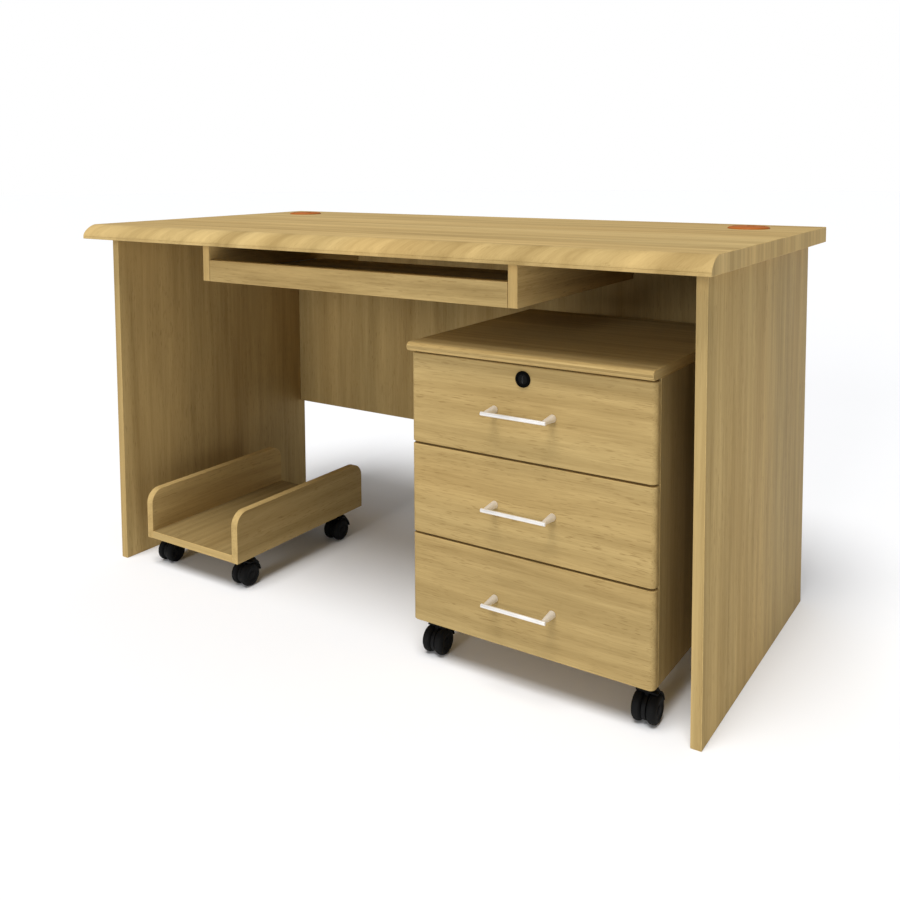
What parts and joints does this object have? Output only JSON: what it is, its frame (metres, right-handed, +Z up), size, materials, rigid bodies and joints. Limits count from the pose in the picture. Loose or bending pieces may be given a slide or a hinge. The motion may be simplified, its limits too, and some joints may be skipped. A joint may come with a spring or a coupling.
{
  "type": "computer desk with keyboard tray",
  "caption": "Straight office desk with a sliding keyboard tray, a lockable drawer pedestal on casters and a low wheeled computer trolley.",
  "frame": {"origin": "on the floor, below the middle of the desktop", "axes": "+X to the user's right along the desktop, +Y from the user's side to the back, +Z up"},
  "size_m": [1.4, 0.7, 0.764],
  "materials": {
    "oak_laminate": "satin light oak laminate with edge banding",
    "drawer_board": "matte lined board",
    "rail_steel": "zinc plated",
    "handle_aluminium": "satin anodised",
    "lock_black": "black",
    "caster_plastic": "moulded black",
    "caster_tread": "moulded black tread",
    "grommet_plastic": "satin orange brown"
  },
  "bodies": {
    "desk": {"desktop": "oak_laminate", "left_side_panel": "oak_laminate", "right_side_panel": "oak_laminate", "modesty_panel": "oak_laminate", "left_cable_grommet": "grommet_plastic", "right_cable_grommet": "grommet_plastic", "left_housing_board": "oak_laminate", "right_housing_board": "oak_laminate", "left_tray_outer_rail": "rail_steel", "right_tray_outer_rail": "rail_steel"},
    "keyboard_tray": {"keyboard_tray_board": "oak_laminate", "keyboard_tray_fascia": "oak_laminate", "left_tray_inner_rail": "rail_steel", "right_tray_inner_rail": "rail_steel"},
    "pedestal": {"pedestal_top": "oak_laminate", "pedestal_left_side": "oak_laminate", "pedestal_right_side": "oak_laminate", "pedestal_back": "oak_laminate", "pedestal_base": "oak_laminate", "cabinet_1_left_rail": "rail_steel", "cabinet_1_right_rail": "rail_steel", "cabinet_2_left_rail": "rail_steel", "cabinet_2_right_rail": "rail_steel", "cabinet_3_left_rail": "rail_steel", "cabinet_3_right_rail": "rail_steel"},
    "drawer_1": {"drawer_1_front": "oak_laminate", "drawer_1_box": "drawer_board", "drawer_1_handle": "handle_aluminium", "drawer_1_left_rail": "rail_steel", "drawer_1_right_rail": "rail_steel"},
    "drawer_2": {"drawer_2_front": "oak_laminate", "drawer_2_box": "drawer_board", "drawer_2_handle": "handle_aluminium", "drawer_2_left_rail": "rail_steel", "drawer_2_right_rail": "rail_steel"},
    "drawer_3": {"drawer_3_front": "oak_laminate", "drawer_3_box": "drawer_board", "drawer_3_handle": "handle_aluminium", "drawer_3_left_rail": "rail_steel", "drawer_3_right_rail": "rail_steel"},
    "lock_cylinder": {"drawer_lock": "lock_black"},
    "trolley": {"trolley_base": "oak_laminate", "trolley_left_side": "oak_laminate", "trolley_right_side": "oak_laminate"},
    "pedestal_front_left_swivel": {"pedestal_front_left_caster_hood": "caster_plastic"},
    "pedestal_front_left_wheels": {"pedestal_front_left_caster_wheels": "caster_tread"},
    "pedestal_front_right_swivel": {"pedestal_front_right_caster_hood": "caster_plastic"},
    "pedestal_front_right_wheels": {"pedestal_front_right_caster_wheels": "caster_tread"},
    "pedestal_rear_left_swivel": {"pedestal_rear_left_caster_hood": "caster_plastic"},
    "pedestal_rear_left_wheels": {"pedestal_rear_left_caster_wheels": "caster_tread"},
    "pedestal_rear_right_swivel": {"pedestal_rear_right_caster_hood": "caster_plastic"},
    "pedestal_rear_right_wheels": {"pedestal_rear_right_caster_wheels": "caster_tread"},
    "trolley_front_left_swivel": {"trolley_front_left_caster_hood": "caster_plastic"},
    "trolley_front_left_wheels": {"trolley_front_left_caster_wheels": "caster_tread"},
    "trolley_front_right_swivel": {"trolley_front_right_caster_hood": "caster_plastic"},
    "trolley_front_right_wheels": {"trolley_front_right_caster_wheels": "caster_tread"},
    "trolley_rear_left_swivel": {"trolley_rear_left_caster_hood": "caster_plastic"},
    "trolley_rear_left_wheels": {"trolley_rear_left_caster_wheels": "caster_tread"},
    "trolley_rear_right_swivel": {"trolley_rear_right_caster_hood": "caster_plastic"},
    "trolley_rear_right_wheels": {"trolley_rear_right_caster_wheels": "caster_tread"}
  },
  "joints": [
    {"name": "keyboard_tray_slide", "type": "slide", "parent": "desk", "child": "keyboard_tray", "axis": [0, -1, 0], "range_m": [0, 0.24]},
    {"name": "pedestal_roll_out", "type": "slide", "parent": "desk", "child": "pedestal", "axis": [0, -1, 0], "range_m": [0, 0.5]},
    {"name": "trolley_roll_out", "type": "slide", "parent": "desk", "child": "trolley", "axis": [0, -1, 0], "range_m": [0, 0.45]},
    {"name": "drawer_1_slide", "type": "slide", "parent": "pedestal", "child": "drawer_1", "axis": [0, -1, 0], "range_m": [0, 0.3]},
    {"name": "drawer_2_slide", "type": "slide", "parent": "pedestal", "child": "drawer_2", "axis": [0, -1, 0], "range_m": [0, 0.3]},
    {"name": "drawer_3_slide", "type": "slide", "parent": "pedestal", "child": "drawer_3", "axis": [0, -1, 0], "range_m": [0, 0.3]},
    {"name": "drawer_lock_turn", "type": "hinge", "parent": "drawer_1", "child": "lock_cylinder", "pos_m": [0.372, -0.3, 0.537], "axis": [0, -1, 0], "range_deg": [0, 90]},
    {"name": "pedestal_front_left_swivel_turn", "type": "hinge", "parent": "pedestal", "child": "pedestal_front_left_swivel", "pos_m": [0.172, -0.241, 0.06], "axis": [0, 0, 1], "continuous": true},
    {"name": "pedestal_front_left_wheels_roll", "type": "hinge", "parent": "pedestal_front_left_swivel", "child": "pedestal_front_left_wheels", "pos_m": [0.172, -0.259, 0.024], "axis": [1, 0, 0], "continuous": true},
    {"name": "pedestal_front_right_swivel_turn", "type": "hinge", "parent": "pedestal", "child": "pedestal_front_right_swivel", "pos_m": [0.576, -0.241, 0.06], "axis": [0, 0, 1], "continuous": true},
    {"name": "pedestal_front_right_wheels_roll", "type": "hinge", "parent": "pedestal_front_right_swivel", "child": "pedestal_front_right_wheels", "pos_m": [0.576, -0.259, 0.024], "axis": [1, 0, 0], "continuous": true},
    {"name": "pedestal_rear_left_swivel_turn", "type": "hinge", "parent": "pedestal", "child": "pedestal_rear_left_swivel", "pos_m": [0.172, 0.1, 0.06], "axis": [0, 0, 1], "continuous": true},
    {"name": "pedestal_rear_left_wheels_roll", "type": "hinge", "parent": "pedestal_rear_left_swivel", "child": "pedestal_rear_left_wheels", "pos_m": [0.172, 0.082, 0.024], "axis": [1, 0, 0], "continuous": true},
    {"name": "pedestal_rear_right_swivel_turn", "type": "hinge", "parent": "pedestal", "child": "pedestal_rear_right_swivel", "pos_m": [0.576, 0.1, 0.06], "axis": [0, 0, 1], "continuous": true},
    {"name": "pedestal_rear_right_wheels_roll", "type": "hinge", "parent": "pedestal_rear_right_swivel", "child": "pedestal_rear_right_wheels", "pos_m": [0.576, 0.082, 0.024], "axis": [1, 0, 0], "continuous": true},
    {"name": "trolley_front_left_swivel_turn", "type": "hinge", "parent": "trolley", "child": "trolley_front_left_swivel", "pos_m": [-0.566, -0.225, 0.06], "axis": [0, 0, 1], "continuous": true},
    {"name": "trolley_front_left_wheels_roll", "type": "hinge", "parent": "trolley_front_left_swivel", "child": "trolley_front_left_wheels", "pos_m": [-0.566, -0.243, 0.024], "axis": [1, 0, 0], "continuous": true},
    {"name": "trolley_front_right_swivel_turn", "type": "hinge", "parent": "trolley", "child": "trolley_front_right_swivel", "pos_m": [-0.334, -0.225, 0.06], "axis": [0, 0, 1], "continuous": true},
    {"name": "trolley_front_right_wheels_roll", "type": "hinge", "parent": "trolley_front_right_swivel", "child": "trolley_front_right_wheels", "pos_m": [-0.334, -0.243, 0.024], "axis": [1, 0, 0], "continuous": true},
    {"name": "trolley_rear_left_swivel_turn", "type": "hinge", "parent": "trolley", "child": "trolley_rear_left_swivel", "pos_m": [-0.566, 0.072, 0.06], "axis": [0, 0, 1], "continuous": true},
    {"name": "trolley_rear_left_wheels_roll", "type": "hinge", "parent": "trolley_rear_left_swivel", "child": "trolley_rear_left_wheels", "pos_m": [-0.566, 0.054, 0.024], "axis": [1, 0, 0], "continuous": true},
    {"name": "trolley_rear_right_swivel_turn", "type": "hinge", "parent": "trolley", "child": "trolley_rear_right_swivel", "pos_m": [-0.334, 0.072, 0.06], "axis": [0, 0, 1], "continuous": true},
    {"name": "trolley_rear_right_wheels_roll", "type": "hinge", "parent": "trolley_rear_right_swivel", "child": "trolley_rear_right_wheels", "pos_m": [-0.334, 0.054, 0.024], "axis": [1, 0, 0], "continuous": true}
  ]
}
